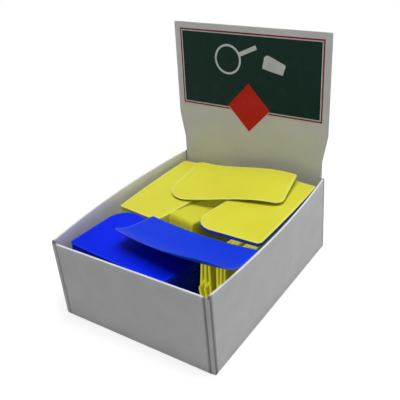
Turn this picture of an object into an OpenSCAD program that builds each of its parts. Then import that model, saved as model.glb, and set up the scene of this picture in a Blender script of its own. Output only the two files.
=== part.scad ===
// Counter display of pan scrapers: an open board tray folded from one blank, a header card that
// stands inside its rear wall, and flat plastic scrapers in two colours that fill the tray.
// Millimetres. The origin is the middle of the tray's underside, X right, Y to the rear, Z up.

/* [Tray] */
// Height of the side walls and the rear wall
tray_h = 90; // [87:0.5:98]
// How much lower the front wall is
front_drop = 2; // [0:0.5:5]
// Thickness of one ply of board
ply = 0.7; // [0.5:0.05:0.8]
// Clearance between two plies that lie side by side in a wall
ply_gap = 0.1; // [0.05:0.05:0.2]
// Radius of the folds along the rims
fold_r = 0.5; // [0.2:0.1:0.7]
// How far the left wall's rim bulges outwards in the middle
left_bulge = 8; // [0:0.5:10]
// How far the right wall's rim bulges outwards in the middle
right_bulge = 6.5; // [0:0.5:10]
// How far the front and rear walls stop short of the corners
corner_strip = 5; // [3:0.5:9]
// Length of a corner flap
flap_len = 58; // [30:1:80]
// Length of a lock tab on a wall's inner ply
tab_len = 20; // [10:1:30]
// Distance between the two lock tabs of a wall
tab_spacing = 96; // [60:2:120]
// Clearance round a lock tab in its slot
tab_gap = 0.4; // [0.2:0.1:0.8]

/* [Header card] */
// Length of the card from its foot to its top edge
card_h = 249; // [240:1:260]
// Width of the card above its shoulders
card_w = 194; // [190:0.5:200]
// Thickness of the card
card_t = 1; // [0.7:0.1:1.2]
// Backward lean of the card in degrees
card_lean = 2.9; // [2:0.1:3.2]
// Height along the card at which the shoulders start
shoulder_low = 109; // [102:1:120]
// Height along the card at which the shoulders end
shoulder_high = 140; // [125:1:148]
// Radius of the card's top corners
card_corner_r = 1.5; // [0.5:0.5:4]
// Clearance of the card to the walls and the floor
card_gap = 0.4; // [0.3:0.05:0.6]

/* [Header print] */
// Bare margin between the card's sides and the frame line
side_margin = 7.5; // [5:0.5:12]
// Bare margin between the card's top and the frame line
top_margin = 7; // [6:0.5:9]
// Height of the printed frame line's outer edge
frame_h = 88.5; // [80:0.5:92]
// Width of the frame line
frame_line = 1.6; // [1:0.1:2.5]
// Bare margin between the frame line and the panel
frame_margin = 1.3; // [0.8:0.1:2.5]
// Half width of the lozenge
lozenge_x = 27; // [20:0.5:32]
// Half height of the lozenge
lozenge_y = 28.5; // [20:0.5:32]
// Thickness of the printed areas
print_t = 0.12; // [0.1:0.02:0.3]
// Outer radius of the pan in the pictogram
picto_pan_r = 17; // [12:0.5:18]
// Width of the pictogram's lines
picto_line = 2.4; // [1.5:0.1:4]
// Length of the pan's handle in the pictogram
picto_handle = 24; // [15:1:28]
// Scale of the small scraper in the pictogram
picto_scraper_scale = 0.2; // [0.12:0.01:0.24]

/* [Scraper] */
// Length of the straight long edge
long_edge = 127; // [122:0.5:128]
// Height of the wide end
wide_end = 83; // [78:0.5:83.5]
// Height of the narrow end
narrow_end = 58; // [50:0.5:62]
// How far the narrow end's far corner leans out
narrow_lean = 7; // [3:0.5:8]
// Bow of the straight long edge
edge_bow = 1.2; // [0.4:0.1:1.3]
// Corner radius at the wide end, on the straight edge
small_r = 5; // [3:0.5:9]
// Corner radius at the narrow end, on the straight edge
sharp_r = 1.5; // [1:0.5:4]
// Corner radius at the narrow end, on the slanted edge
medium_r = 10; // [6:0.5:14]
// Corner radius at the wide end, on the slanted edge
large_r = 22; // [16:0.5:26]
// Thickness of a scraper
scraper_t = 1.8; // [1.5:0.05:1.9]
// Air left between two scrapers that lie together
sheet_gap = 0.1; // [0.05:0.05:0.15]
// Air left under a scraper that can be picked up
lift_gap = 0.3; // [0.3:0.05:0.4]

/* [Filling] */
// Blue scrapers in the front left stack, without its top one
front_left_count = 41; // [30:1:41]
// Blue scrapers at the bottom of the rear left stack
rear_left_blue_count = 22; // [10:1:30]
// Yellow scrapers above them, without the top one
rear_left_yellow_count = 19; // [8:1:19]
// Scrapers in the middle bundle
middle_count = 19; // [8:1:19]
// Scrapers in the front bundle at the left
left_bundle_count = 5; // [2:1:5]
// Scrapers in the front bundle at the right
right_bundle_count = 6; // [2:1:6]
// Blue scrapers in the rear right layer
layer_count = 2; // [1:1:3]
// Distance of the front bundles' front edges from the front wall's outside
front_bundle_y = 40; // [38:0.5:46]
// Air between the left wall and the front left stack
left_space = 3.4; // [2:0.1:8]
// Air between the front wall and the front left stack
front_space = 10.7; // [8:0.1:16]
// Air between the front left stack and the front bundle at the left
bundle_space = 1.1; // [1:0.1:6]
// Air between the front bundle at the right and the right wall
right_space = 6.6; // [6.5:0.1:12]
// How far the front left stack's turned rear corner reaches past the rear left stack's front end
stack_interlock = 7.6; // [5:0.1:7.7]
// Air between the rear left stack and the header card's foot
rear_left_space = 3.1; // [2.5:0.1:6]
// Air between the rear right layer and the header card, seen from above at the card's foot
rear_right_space = 2.2; // [1:0.1:6]
// Air between the middle bundle's far corner and the header card
middle_space = 2.2; // [1.5:0.1:3.5]
// Air between the rear left stack and the middle bundle
bundle_gap = 1.1; // [1:0.1:3]
// Air between the fanned scrapers' feet in the front bundle at the left
fan_gap = 2.5; // [2.4:0.1:3.5]
// Air between the scrapers' feet in the front bundle at the right
close_gap = 0.2; // [0.1:0.05:1]

/* [Loose scrapers] */
// Radius of the curl across the loose blue scraper, where it starts
blue_curl_r = 51; // [45:1:200]
// Distance from the scraper's middle to where the curl starts
blue_curl_start = 6.2; // [0:0.1:12]
// How far the loose blue scraper's ends bend up
blue_rise = 4.9; // [0:0.1:6]
// How far the loose yellow scraper's right end bends down and its left end up
yellow_wave = 6; // [3:0.1:6.5]
// How far both its ends bend down
yellow_sag = 0; // [0:0.1:1]

/* [Hidden] */
$fn = 48;

// Colours of the real surfaces
board_white = [0.80, 0.80, 0.80];
board_grey = [0.66, 0.67, 0.68];
card_cream = [0.70, 0.70, 0.62];
print_green = [0.06, 0.16, 0.13];
print_red = [0.65, 0.11, 0.08];
print_dark_red = [0.43, 0.10, 0.10];
scraper_blue = [0.04, 0.16, 0.90];
scraper_yellow = [0.84, 0.83, 0.20];

// The tray is as wide as its front row and as deep as its left row, or as wide as its rear row needs
wall_t = 3 * ply + 2 * ply_gap;
front_left_turn = -4;
turned_len = (long_edge + narrow_lean) * cos(front_left_turn) - narrow_end * sin(front_left_turn);
turned_depth = wide_end * cos(front_left_turn) - long_edge / 2 * sin(front_left_turn);
pitch = scraper_t + sheet_gap;
left_bundle_step = pitch + fan_gap;
right_bundle_step = pitch + close_gap;
left_bundle_w = left_bundle_count * left_bundle_step;
right_bundle_w = right_bundle_count * right_bundle_step;
front_row = left_space + turned_len + bundle_space + left_bundle_w + right_bundle_w + right_space;
rear_row = 2 * (card_gap + edge_bow + wide_end + bundle_gap);
tray_w = 2 * wall_t + max(front_row, rear_row);
card_room = card_gap + tray_h * tan(card_lean) + card_t;
left_row = front_space + turned_depth - stack_interlock + long_edge + narrow_lean + rear_left_space;
tray_d = 2 * wall_t + left_row + card_room;
inner_x = tray_w / 2 - wall_t;
inner_y = tray_d / 2 - wall_t;
end_wall_w = tray_w - 2 * corner_strip;
flap_y = tray_d / 2 - ply - ply_gap;
side_wall_len = 2 * (flap_y - ply);
front_h = tray_h - front_drop;
tab_drop = 0.1;
bulge_steps = 24;
// How much of the right wall's bulge the rear right scrapers follow
bulge_share = 0.2;
flap_chamfer = 6;

// Header card
foot_w = 2 * (inner_x - card_gap);
card_back_y = inner_y - card_gap;
card_foot_y = card_back_y - tray_h * tan(card_lean);
card_foot_z = ply + card_gap;
card_front_y = card_foot_y - card_t;
frame_w = card_w - 2 * side_margin;
frame_rise = card_h - top_margin - frame_h;
panel_w = frame_w - 2 * (frame_line + frame_margin);
panel_h = frame_h - 2 * (frame_line + frame_margin);
panel_rise = frame_rise + frame_line + frame_margin;
lozenge_lift = 1.5;
lozenge_rise = panel_rise + lozenge_lift;
picto_top_space = 11;
picto_rise = panel_rise + panel_h - picto_pan_r - picto_top_space;
picto_x = -26;
picto_handle_turn = 24;
picto_scraper_x = 30;

// The scraper's outline: corners counter-clockwise from the wide end of the straight edge
corners = [
    [-long_edge / 2, 0], [long_edge / 2, 0],
    [long_edge / 2 + narrow_lean, narrow_end], [-long_edge / 2, wide_end]
];
radii = [small_r, sharp_r, medium_r, large_r];
function unit(v) = v / norm(v);
function toward(i, k) = unit(corners[(i + k) % 4] - corners[i]);
function half_angle(i) = acos(toward(i, 3) * toward(i, 1)) / 2;
function tangent_in(i) = corners[i] + toward(i, 3) * radii[i] / tan(half_angle(i));
function tangent_out(i) = corners[i] + toward(i, 1) * radii[i] / tan(half_angle(i));
function corner_centre(i) = corners[i] + unit(toward(i, 3) + toward(i, 1)) * radii[i] / sin(half_angle(i));
// Steps of each corner's arc, and of the edge after it, on a flat and on a bent scraper
arc_steps = 6;
flat_steps = [8, 1, 1, 1];
bent_steps = [12, 5, 12, 8];
ring_count = 5;
function corner_arc(i) = let (
    from = tangent_in(i) - corner_centre(i),
    start = atan2(from[1], from[0]),
    sweep = 180 - 2 * half_angle(i)
) [for (k = [0:arc_steps]) let (a = start + sweep * k / arc_steps)
    corner_centre(i) + radii[i] * [cos(a), sin(a)]];
function edge_points(i, steps) = let (
    from = tangent_out(i),
    to = tangent_in((i + 1) % 4),
    bow = i == 0 ? edge_bow : 0
) [for (k = [1:1:steps - 1]) let (f = k / steps) from + (to - from) * f - [0, 4 * bow * f * (1 - f)]];
function rim_points(steps) = [for (i = [0:3]) each concat(corner_arc(i), edge_points(i, steps[i]))];
// Height of the outline's middle over the straight edge
middle_v = (wide_end + narrow_end) / 4;
// A scraper that stands on its slanted edge: how far the edge slants, where the large corner's arc
// reaches furthest past the edge's end, the scraper's length along the floor and its height
slant = atan((wide_end - narrow_end) / (long_edge + narrow_lean));
toe = large_r / tan(half_angle(3)) - large_r;
standing_len = long_edge * cos(slant) + wide_end * sin(slant) - toe;
standing_h = (corners[3] - corner_centre(0)) * [sin(slant), cos(slant)] + small_r;
lift_extra = lift_gap - sheet_gap;

// Places of the flat stacks: middle of the straight edge, then the turn about Z
stack_z = ply + sheet_gap;
front_left_x = left_space + long_edge / 2 * cos(front_left_turn) - inner_x;
front_left_place = [front_left_x, front_space - inner_y];
rear_left_place = [card_gap + edge_bow - inner_x, card_front_y - rear_left_space - long_edge / 2];
rear_right_y = card_front_y - rear_right_space - narrow_lean - long_edge / 2;
rear_right_place = [inner_x - card_gap - edge_bow + bulge_share * right_bulge, rear_right_y];
front_left_z = stack_z + front_left_count * pitch;
rear_left_yellow_z = stack_z + rear_left_blue_count * pitch;
rear_left_z = rear_left_yellow_z + rear_left_yellow_count * pitch;

// Upright bundles
// The middle one lies along the slanted side of the rear left stack.
middle_rear_y = card_front_y + narrow_end * tan(card_lean) - middle_space;
middle_bundle_y = middle_rear_y - standing_len * cos(slant);
middle_bundle_run = (middle_bundle_y - rear_left_place[1] - long_edge / 2 + bundle_gap * sin(slant)) / cos(slant);
middle_bundle_x = rear_left_place[0] + wide_end + bundle_gap * cos(slant) + middle_bundle_run * sin(slant);
left_bundle_x = inner_x - right_space - right_bundle_w - left_bundle_w;
left_bundle_lean = 1.7;
right_bundle_x = inner_x - right_space - right_bundle_w;
right_bundle_lean = 3.5;
bundle_top = stack_z + standing_h + scraper_t * sin(left_bundle_lean);
layer_z = bundle_top + lift_gap;
rear_right_z = layer_z + layer_count * pitch;

// Turns of the loose scrapers about X, Y and Z, and their places: the middle of each piece.
// The blue one lies against the right wall and before the layer, the yellow one before the card.
// Each is as high as what it lies on, as its own tilt and as its bend ask.
blue_turn = [-7, 2.3, 0.8];
blue_bulge_share = 0.6;
blue_wall_space = 1.2;
blue_layer_space = 4.6;
blue_rounding = 4.2;
blue_end = long_edge / 2 * cos(blue_turn[2]) + middle_v * sin(blue_turn[2]);
blue_tilt = long_edge / 2 * sin(blue_turn[1]) - middle_v * sin(blue_turn[0]);
blue_rest = max(front_left_z + lift_extra + scraper_t, bundle_top);
blue_place = [
    inner_x + blue_bulge_share * right_bulge - blue_wall_space - blue_end,
    rear_right_y - long_edge / 2 - blue_layer_space - middle_v * cos(blue_turn[0]),
    blue_rest + blue_tilt - blue_rounding
];
yellow_turn = [4.2, -8.2, 2];
yellow_shift = 6.6;
yellow_card_space = 11.4;
yellow_rounding = 3.3;
yellow_left_tilt = middle_v * sin(yellow_turn[0]) - long_edge / 2 * sin(yellow_turn[1]);
yellow_on_left = rear_left_z + scraper_t + yellow_left_tilt - yellow_rounding;
yellow_on_right = rear_right_z + lift_extra + scraper_t + middle_v * sin(yellow_turn[0]);
yellow_place = [
    yellow_shift,
    card_front_y - yellow_card_space - middle_v,
    max(yellow_on_left, yellow_on_right)
];

// How far scrapers lie from their pile's place, to the right, lengthwise, and turned
front_left_slack = [0.6, 0.5, 0.4];
rear_left_slack = [0.3, 0.6, 0.1];
rear_right_slack = [-0.6, 0.5, 0.2];
bundle_slack = 0.8;

// A steady scatter between 0 and 1 for the i-th scraper of a pile
function scatter(i, phase) = 0.5 + 0.5 * sin(i * 137.5 + phase);

// Tray

// A rolled-over wall's section from its outer foot round to its inner one, as [depth, height]
function wall_ring(h) = concat(
    [[0, 0]],
    [for (a = [0, 45, 90]) [fold_r * (1 - cos(a)), h - fold_r * (1 - sin(a))]],
    [for (a = [90, 45, 0]) [wall_t - fold_r * (1 - cos(a)), h - fold_r * (1 - sin(a))]],
    [[wall_t, ply], [wall_t - ply, ply], [wall_t - ply, h - ply], [ply, h - ply], [ply, 0]]
);

// A wall of the given length along X, its outer face at y = 0. Its rim bulges outwards in a parabola
// along the wall, and less towards the floor.
module bulging_wall(length, h, bulge) {
    ring = wall_ring(h);
    count = len(ring);
    points = [for (k = [0:bulge_steps], p = ring) let (f = 2 * k / bulge_steps - 1)
        [f * length / 2, p[0] - bulge * (1 - f * f) * max(0, p[1] - ply) / (h - ply), p[1]]];
    faces = concat(
        [[for (j = [count - 1:-1:0]) j], [for (j = [0:count - 1]) bulge_steps * count + j]],
        [for (k = [0:bulge_steps - 1], j = [0:count - 1]) let (a = k * count + j, b = k * count + (j + 1) % count) each [
            [a, b, a + count],
            [b, b + count, a + count]
        ]]
    );
    polyhedron(points = points, faces = faces);
}

// A wall with its two lock tabs
module rolled_wall(length, h, bulge) {
    for (side = [-1, 1])
        translate([side * tab_spacing / 2 - tab_len / 2, wall_t - ply, tab_drop])
            cube([tab_len, ply, ply - tab_drop]);
    if (bulge > 0)
        bulging_wall(length, h, bulge);
    else
        translate([-length / 2, 0, 0]) rotate([90, 0, 90]) linear_extrude(length) polygon(wall_ring(h));
}

// The two lock slots of one wall, cut where its inner ply stands
module lock_slots(half_depth) {
    for (side = [-1, 1])
        translate([side * tab_spacing / 2 - tab_len / 2 - tab_gap, wall_t - ply - tab_gap - half_depth, -1])
            cube([tab_len + 2 * tab_gap, ply + 2 * tab_gap, ply + 2]);
}

module floor_panel() {
    color(board_white) difference() {
        translate([ply - tray_w / 2, ply - tray_d / 2, 0]) cube([tray_w - 2 * ply, tray_d - 2 * ply, ply]);
        for (turn = [0, 180]) rotate(turn) lock_slots(tray_d / 2);
        for (turn = [90, -90]) rotate(turn) lock_slots(tray_w / 2);
    }
}

module front_wall() {
    color(board_grey) translate([0, -tray_d / 2, 0]) rolled_wall(end_wall_w, front_h, 0);
}

module rear_wall() {
    color(board_grey) rotate(180) translate([0, -tray_d / 2, 0]) rolled_wall(end_wall_w, tray_h, 0);
}

module left_wall() {
    color(board_grey) rotate(-90) translate([0, -tray_w / 2, 0]) rolled_wall(side_wall_len, tray_h, left_bulge);
}

module right_wall() {
    color(board_grey) rotate(90) translate([0, -tray_w / 2, 0]) rolled_wall(side_wall_len, tray_h, right_bulge);
}

// A side wall's flap, turned round the front right corner behind an end wall of height h
module corner_flap(h) {
    flap_h = h - 2 * ply - 2 * ply_gap;
    color(board_white) translate([tray_w / 2, ply - flap_y, ply + ply_gap]) rotate([90, 0, 0])
        linear_extrude(ply) polygon([
            [0, 0], [-flap_len, flap_chamfer], [-flap_len, flap_h - flap_chamfer],
            [-flap_len + flap_chamfer, flap_h], [0, flap_h]
        ]);
}

module front_right_flap() {
    corner_flap(front_h);
}

module front_left_flap() {
    mirror([1, 0, 0]) corner_flap(front_h);
}

module rear_right_flap() {
    mirror([0, 1, 0]) corner_flap(tray_h);
}

module rear_left_flap() {
    rotate(180) corner_flap(tray_h);
}

// Header card

// Puts what is drawn in the card's own frame in place: X across, Z up along the card, front face at 0
module on_card() {
    translate([0, card_foot_y, card_foot_z]) rotate([-card_lean, 0, 0]) translate([0, -card_t, 0])
        children();
}

// Raises an outline from the card's front face, forward by t
module raised(t) {
    rotate([90, 0, 0]) linear_extrude(t) children();
}

module card_outline() {
    polygon([
        [-foot_w / 2, 0], [foot_w / 2, 0], [foot_w / 2, shoulder_low], [card_w / 2, shoulder_high],
        [card_w / 2, card_h - card_corner_r], [card_w / 2 - card_corner_r, card_h],
        [card_corner_r - card_w / 2, card_h], [-card_w / 2, card_h - card_corner_r],
        [-card_w / 2, shoulder_high], [-foot_w / 2, shoulder_low]
    ]);
    for (side = [-1, 1])
        translate([side * (card_w / 2 - card_corner_r), card_h - card_corner_r]) circle(r = card_corner_r);
}

module header_card() {
    color(card_cream) on_card() translate([0, card_t, 0]) raised(card_t) card_outline();
}

// A square-cornered area of the print, centred on the card
module print_area(w, h, rise) {
    translate([-w / 2, rise]) square([w, h]);
}

// The lozenge's outline, grown sideways by the given margin
module lozenge_outline(grow) {
    reach_x = lozenge_x + grow;
    reach_y = lozenge_y + grow * lozenge_y / lozenge_x;
    translate([0, lozenge_rise]) polygon([[reach_x, 0], [0, reach_y], [-reach_x, 0], [0, -reach_y]]);
}

module header_frame_line() {
    color(print_dark_red) on_card() raised(print_t) difference() {
        print_area(frame_w, frame_h, frame_rise);
        print_area(frame_w - 2 * frame_line, frame_h - 2 * frame_line, frame_rise + frame_line);
        lozenge_outline(frame_margin);
    }
}

module header_panel() {
    color(print_green) on_card() raised(print_t) difference() {
        print_area(panel_w, panel_h, panel_rise);
        lozenge_outline(0);
    }
}

module header_lozenge() {
    color(print_red) on_card() raised(print_t) lozenge_outline(0);
}

// A pan seen from above with its handle, and a small scraper beside it
module pictogram_outline() {
    translate([picto_x, picto_rise]) {
        difference() {
            circle(r = picto_pan_r);
            circle(r = picto_pan_r - picto_line);
        }
        rotate(picto_handle_turn) translate([picto_pan_r - picto_line / 2, -picto_line])
            square([picto_handle, 2 * picto_line]);
    }
    translate([picto_scraper_x, picto_rise - picto_pan_r / 2]) rotate(-picto_handle_turn / 2)
        scale(picto_scraper_scale) scraper_outline();
}

module header_pictogram() {
    color(card_cream) on_card() translate([0, -print_t, 0]) raised(print_t) pictogram_outline();
}

// Scrapers

// One scraper's outline: straight long edge along X, slightly bowed, four different corners
module scraper_outline() {
    polygon(rim_points(flat_steps));
}

module scraper() {
    linear_extrude(scraper_t) scraper_outline();
}

// Scrapers lying flat on each other from height z up; slack is how far each may lie from its place
module flat_pile(place, turn, z, count, slack, phase) {
    for (i = [0:count - 1])
        translate([
            place[0] + slack[0] * scatter(i, phase),
            place[1] + slack[1] * (2 * scatter(i, phase + 70) - 1),
            z + i * pitch
        ]) rotate(turn + slack[2] * (2 * scatter(i, phase + 140) - 1)) scraper();
}

module front_left_stack() {
    color(scraper_blue)
        flat_pile(front_left_place, front_left_turn, stack_z, front_left_count, front_left_slack, 20);
}

module front_left_top_scraper() {
    color(scraper_blue)
        flat_pile(front_left_place, front_left_turn, front_left_z + lift_extra, 1, [0, 0, 0], 0);
}

module rear_left_blue_stack() {
    color(scraper_blue)
        flat_pile(rear_left_place, -90, stack_z, rear_left_blue_count, rear_left_slack, 65);
}

module rear_left_yellow_stack() {
    color(scraper_yellow)
        flat_pile(rear_left_place, -90, rear_left_yellow_z, rear_left_yellow_count, rear_left_slack, 110);
}

module rear_left_top_scraper() {
    color(scraper_yellow) flat_pile(rear_left_place, -90, rear_left_z, 1, [0, 0, 0], 0);
}

module rear_right_layer() {
    color(scraper_blue) flat_pile(rear_right_place, 90, layer_z, layer_count, rear_right_slack, 30);
}

module rear_right_top_scraper() {
    color(scraper_yellow)
        flat_pile(rear_right_place, 90, rear_right_z + lift_extra, 1, [0, 0, 0], 0);
}

// A scraper standing on its slanted edge, wide end forward at y = 0, leaning to the left
module standing_scraper(lean, reversed) {
    translate([0, reversed ? standing_len + toe : -toe, stack_z]) rotate([0, -lean, 0])
        mirror([0, reversed ? 0 : 1, 0]) rotate([90, 0, 90])
            rotate(180 + slant) translate(-corners[3]) scraper();
}

module middle_bundle() {
    color(scraper_yellow)
        translate([middle_bundle_x, middle_bundle_y, 0]) rotate(-slant)
            for (i = [0:middle_count - 1])
                translate([i * pitch, bundle_slack * scatter(i, 15), 0]) standing_scraper(0, false);
}

// Scrapers standing fanned out: each leans a little more than the one at its left
module fanned_bundle(x, count, step, first_lean, lean_step, turned) {
    for (i = [0:count - 1])
        translate([x + i * step, front_bundle_y - tray_d / 2 + bundle_slack * scatter(i, 50), 0])
            standing_scraper(first_lean + i * lean_step, i % 2 == turned);
}

module front_bundle_left() {
    color(scraper_yellow)
        fanned_bundle(left_bundle_x, left_bundle_count, left_bundle_step, 0, left_bundle_lean, 1);
}

module front_bundle_right() {
    color(scraper_yellow)
        fanned_bundle(right_bundle_x, right_bundle_count, right_bundle_step, right_bundle_lean, 0, 1);
}

outline_middle = [0, middle_v];
bent_rim = rim_points(bent_steps);
rim_count = len(bent_rim);
ring_points = [for (ring = [1:ring_count]) each [for (p = bent_rim)
    (p - outline_middle) * ring / ring_count]];

// Heights of the two bent scrapers over their flat middle plane
function curl_height(p) = let (d = max(0, blue_curl_start - p[1]), f = 2 * p[0] / long_edge)
    d * d / (2 * blue_curl_r) + blue_rise * f * f;
function wave_height(p) = let (f = 2 * p[0] / long_edge) -yellow_wave * f * f * f - yellow_sag * f * f;

// A bent scraper round its middle: rings of points from the middle out to the rim, top and bottom
module bent_scraper(heights) {
    count = len(ring_points);
    top = [for (i = [0:count - 1]) [ring_points[i][0], ring_points[i][1], heights[i] + scraper_t / 2]];
    low = [for (p = top) p - [0, 0, scraper_t]];
    points = concat(top, low, [[0, 0, scraper_t / 2], [0, 0, -scraper_t / 2]]);
    function spot(ring, k, side) = side * count + ring * rim_count + k % rim_count;
    function turned(face, side) = side == 0 ? face : [face[2], face[1], face[0]];
    faces = concat(
        [for (side = [0, 1], k = [0:rim_count - 1])
            turned([2 * count + side, spot(0, k + 1, side), spot(0, k, side)], side)],
        [for (side = [0, 1], ring = [0:ring_count - 2], k = [0:rim_count - 1]) each [
            turned([spot(ring, k, side), spot(ring, k + 1, side), spot(ring + 1, k, side)], side),
            turned([spot(ring, k + 1, side), spot(ring + 1, k + 1, side), spot(ring + 1, k, side)], side)
        ]],
        [for (k = [0:rim_count - 1]) each [
            [spot(ring_count - 1, k, 0), spot(ring_count - 1, k + 1, 0), spot(ring_count - 1, k, 1)],
            [spot(ring_count - 1, k + 1, 0), spot(ring_count - 1, k + 1, 1), spot(ring_count - 1, k, 1)]
        ]]
    );
    polyhedron(points = points, faces = faces);
}

module loose_blue_scraper() {
    color(scraper_blue) translate(blue_place) rotate(blue_turn) rotate(180)
        bent_scraper([for (p = ring_points) curl_height(-p)]);
}

module loose_yellow_scraper() {
    color(scraper_yellow) translate(yellow_place) rotate(yellow_turn) mirror([0, 1, 0])
        bent_scraper([for (p = ring_points) wave_height(p)]);
}

floor_panel();
front_wall();
rear_wall();
left_wall();
right_wall();
front_left_flap();
front_right_flap();
rear_left_flap();
rear_right_flap();
header_card();
header_frame_line();
header_panel();
header_lozenge();
header_pictogram();
front_left_stack();
front_left_top_scraper();
rear_left_blue_stack();
rear_left_yellow_stack();
rear_left_top_scraper();
middle_bundle();
front_bundle_left();
front_bundle_right();
rear_right_layer();
rear_right_top_scraper();
loose_blue_scraper();
loose_yellow_scraper();
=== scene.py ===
# %% [markdown]
# # Pan scrapers in their counter display
#
# The real thing is an open tray folded from one blank of coated board. A printed header card stands
# inside its rear wall, and flat plastic scrapers in two colours fill it: some lie in stacks, some stand
# on edge, and two lie loose on top.
#
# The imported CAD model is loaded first. Its nodes say where everything is, and what is built here
# replaces the ones whose looks need more than flat solids, such as the bevelled rim of a scraper.

# %% The frame
import math

import bpy
import numpy as np
from mathutils import Matrix, Vector


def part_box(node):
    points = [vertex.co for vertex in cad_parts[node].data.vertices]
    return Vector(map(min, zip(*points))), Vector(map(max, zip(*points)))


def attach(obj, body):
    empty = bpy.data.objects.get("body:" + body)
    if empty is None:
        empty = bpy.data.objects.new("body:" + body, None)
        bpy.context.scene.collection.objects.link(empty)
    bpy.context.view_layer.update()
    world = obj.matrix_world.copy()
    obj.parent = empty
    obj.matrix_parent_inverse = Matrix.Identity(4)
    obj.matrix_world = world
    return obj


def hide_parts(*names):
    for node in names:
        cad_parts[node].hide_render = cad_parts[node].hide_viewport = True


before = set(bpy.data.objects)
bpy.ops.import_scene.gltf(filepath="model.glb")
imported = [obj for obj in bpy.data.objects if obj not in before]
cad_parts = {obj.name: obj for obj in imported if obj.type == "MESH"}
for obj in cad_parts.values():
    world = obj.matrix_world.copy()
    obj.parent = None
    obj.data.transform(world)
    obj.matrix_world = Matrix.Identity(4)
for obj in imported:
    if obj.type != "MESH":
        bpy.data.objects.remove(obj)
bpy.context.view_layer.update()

# %% [markdown]
# ## Units and meshes
#
# Blender works in metres, but board and plastic are easier to think of in millimetres. So every size
# below is in millimetres, and the one function that makes a mesh turns them into metres. A mesh comes
# from whole numpy arrays: a table of points, and tables of four-sided and three-sided faces.

# %% Making a piece
MM = 0.001


def make_piece(name, points, quads, tris, body, replaces=(), values=None):
    """A closed mesh from arrays. points is n x 3 in millimetres, values maps attribute names to n numbers."""
    mesh = bpy.data.meshes.new(name)
    faces = np.asarray(quads).tolist() + np.asarray(tris).tolist()
    mesh.from_pydata((np.asarray(points) * MM).tolist(), [], faces)
    mesh.polygons.foreach_set("use_smooth", np.ones(len(mesh.polygons), bool))
    for key, numbers in (values or {}).items():
        mesh.attributes.new(key, "FLOAT", "POINT").data.foreach_set("value", np.asarray(numbers, np.float32))
    mesh.validate()
    piece = bpy.data.objects.new(name, mesh)
    bpy.context.scene.collection.objects.link(piece)
    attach(piece, body)
    if replaces:
        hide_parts(*replaces)
    print(name, len(points), "points", 2 * len(quads) + len(tris), "triangles")
    return piece


def ring_faces(rings, around):
    """Faces of a closed skin of rings x around points with a pole at each end, numbered after the rings.
    A quad joins point j and j + 1 of one ring to the same points of the next."""
    k, j = np.meshgrid(np.arange(rings - 1), np.arange(around), indexing="ij")
    nxt = (j + 1) % around
    quads = np.stack([k * around + j, k * around + nxt, (k + 1) * around + nxt, (k + 1) * around + j], -1)
    j = np.arange(around)
    first, last = np.full(around, rings * around), np.full(around, rings * around + 1)
    top = (rings - 1) * around
    tris = np.concatenate([
        np.stack([first, (j + 1) % around, j], -1),
        np.stack([last, top + j, top + (j + 1) % around], -1),
    ])
    return quads.reshape(-1, 4), tris


def box_mm(node):
    """The lowest and highest corner of a CAD node, in millimetres."""
    low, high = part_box(node)
    return np.array(low) / MM, np.array(high) / MM


# %% [markdown]
# ## The outline of a scraper
#
# A scraper has four corners of four different radii, one for each kind of pan, and a long edge that is
# slightly bowed. Its outline could be drawn as a Bezier curve, but a formula keeps the corners exact:
# each corner's circle touches both edges, so its centre lies on the line that halves the corner. Moving
# all the edges inwards by the same distance gives a smaller outline with as many points, and rings of
# such outlines make the whole surface.

# %% Outlines
LONG_EDGE = 127.0
WIDE_END = 83.0
NARROW_END = 58.0
NARROW_LEAN = 7.0
EDGE_BOW = 1.2
SCRAPER_T = 1.8
CORNER_R = (5.0, 1.5, 10.0, 22.0)
CORNERS = np.array([
    [-LONG_EDGE / 2, 0], [LONG_EDGE / 2, 0],
    [LONG_EDGE / 2 + NARROW_LEAN, NARROW_END], [-LONG_EDGE / 2, WIDE_END],
])
MIDDLE = np.array([0, (WIDE_END + NARROW_END) / 4])


def outline(corners, radii, arc_steps, edge_steps, inset=0.0, bow=0.0):
    """Points counter-clockwise along a rounded outline whose edges all lie inset further in.
    A corner's circle has its centre on the halving line, at (inset + radius) / sin(half the angle).
    The first edge bows out by 4 bow f (1 - f), where f runs from 0 to 1 along it."""
    count = len(corners)
    starts, ends, arcs = [], [], []
    for i in range(count):
        back = corners[i - 1] - corners[i]
        forth = corners[(i + 1) % count] - corners[i]
        back, forth = back / np.linalg.norm(back), forth / np.linalg.norm(forth)
        turn = forth[0] * back[1] - forth[1] * back[0]
        sign = 1 if turn > 0 else -1
        half = math.acos(np.clip(back @ forth, -1, 1)) / 2
        halving = (back + forth) / np.linalg.norm(back + forth) * sign
        corner = corners[i] + halving * inset / math.sin(half)
        if arc_steps[i] == 0:
            arc = corner[None]
        else:
            radius = max(radii[i] - inset, 0.15)
            centre = corner + halving * radius / math.sin(half)
            spoke = corner + back * radius / math.tan(half) - centre
            angles = math.atan2(spoke[1], spoke[0]) + np.linspace(0, math.pi - 2 * half, arc_steps[i] + 1)
            arc = centre + radius * np.stack([np.cos(angles), np.sin(angles)], -1)
        starts.append(arc[0])
        ends.append(arc[-1])
        arcs.append(arc)
    points = []
    for i in range(count):
        f = np.arange(1, edge_steps[i])[:, None] / edge_steps[i]
        edge = ends[i] + (starts[(i + 1) % count] - ends[i]) * f
        edge[:, 1] -= (bow if i == 0 else 0) * 4 * (f * (1 - f))[:, 0]
        points += [arcs[i], edge]
    return np.concatenate(points)


print("outline points:", len(outline(CORNERS, CORNER_R, (6, 4, 8, 12), (10, 1, 1, 1), bow=EDGE_BOW)))

# %% [markdown]
# ## The sheet itself
#
# A scraper is moulded, and its rim is bevelled on both sides so that it gets under baked-on food. That
# thin rim lets light through, which makes it look paler than the middle. The surface is a profile
# carried round the outline: from the middle of the underside out to the rim, round it, and back to the
# middle of the top. Each point also keeps how thin the sheet is there, for the material.

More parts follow.
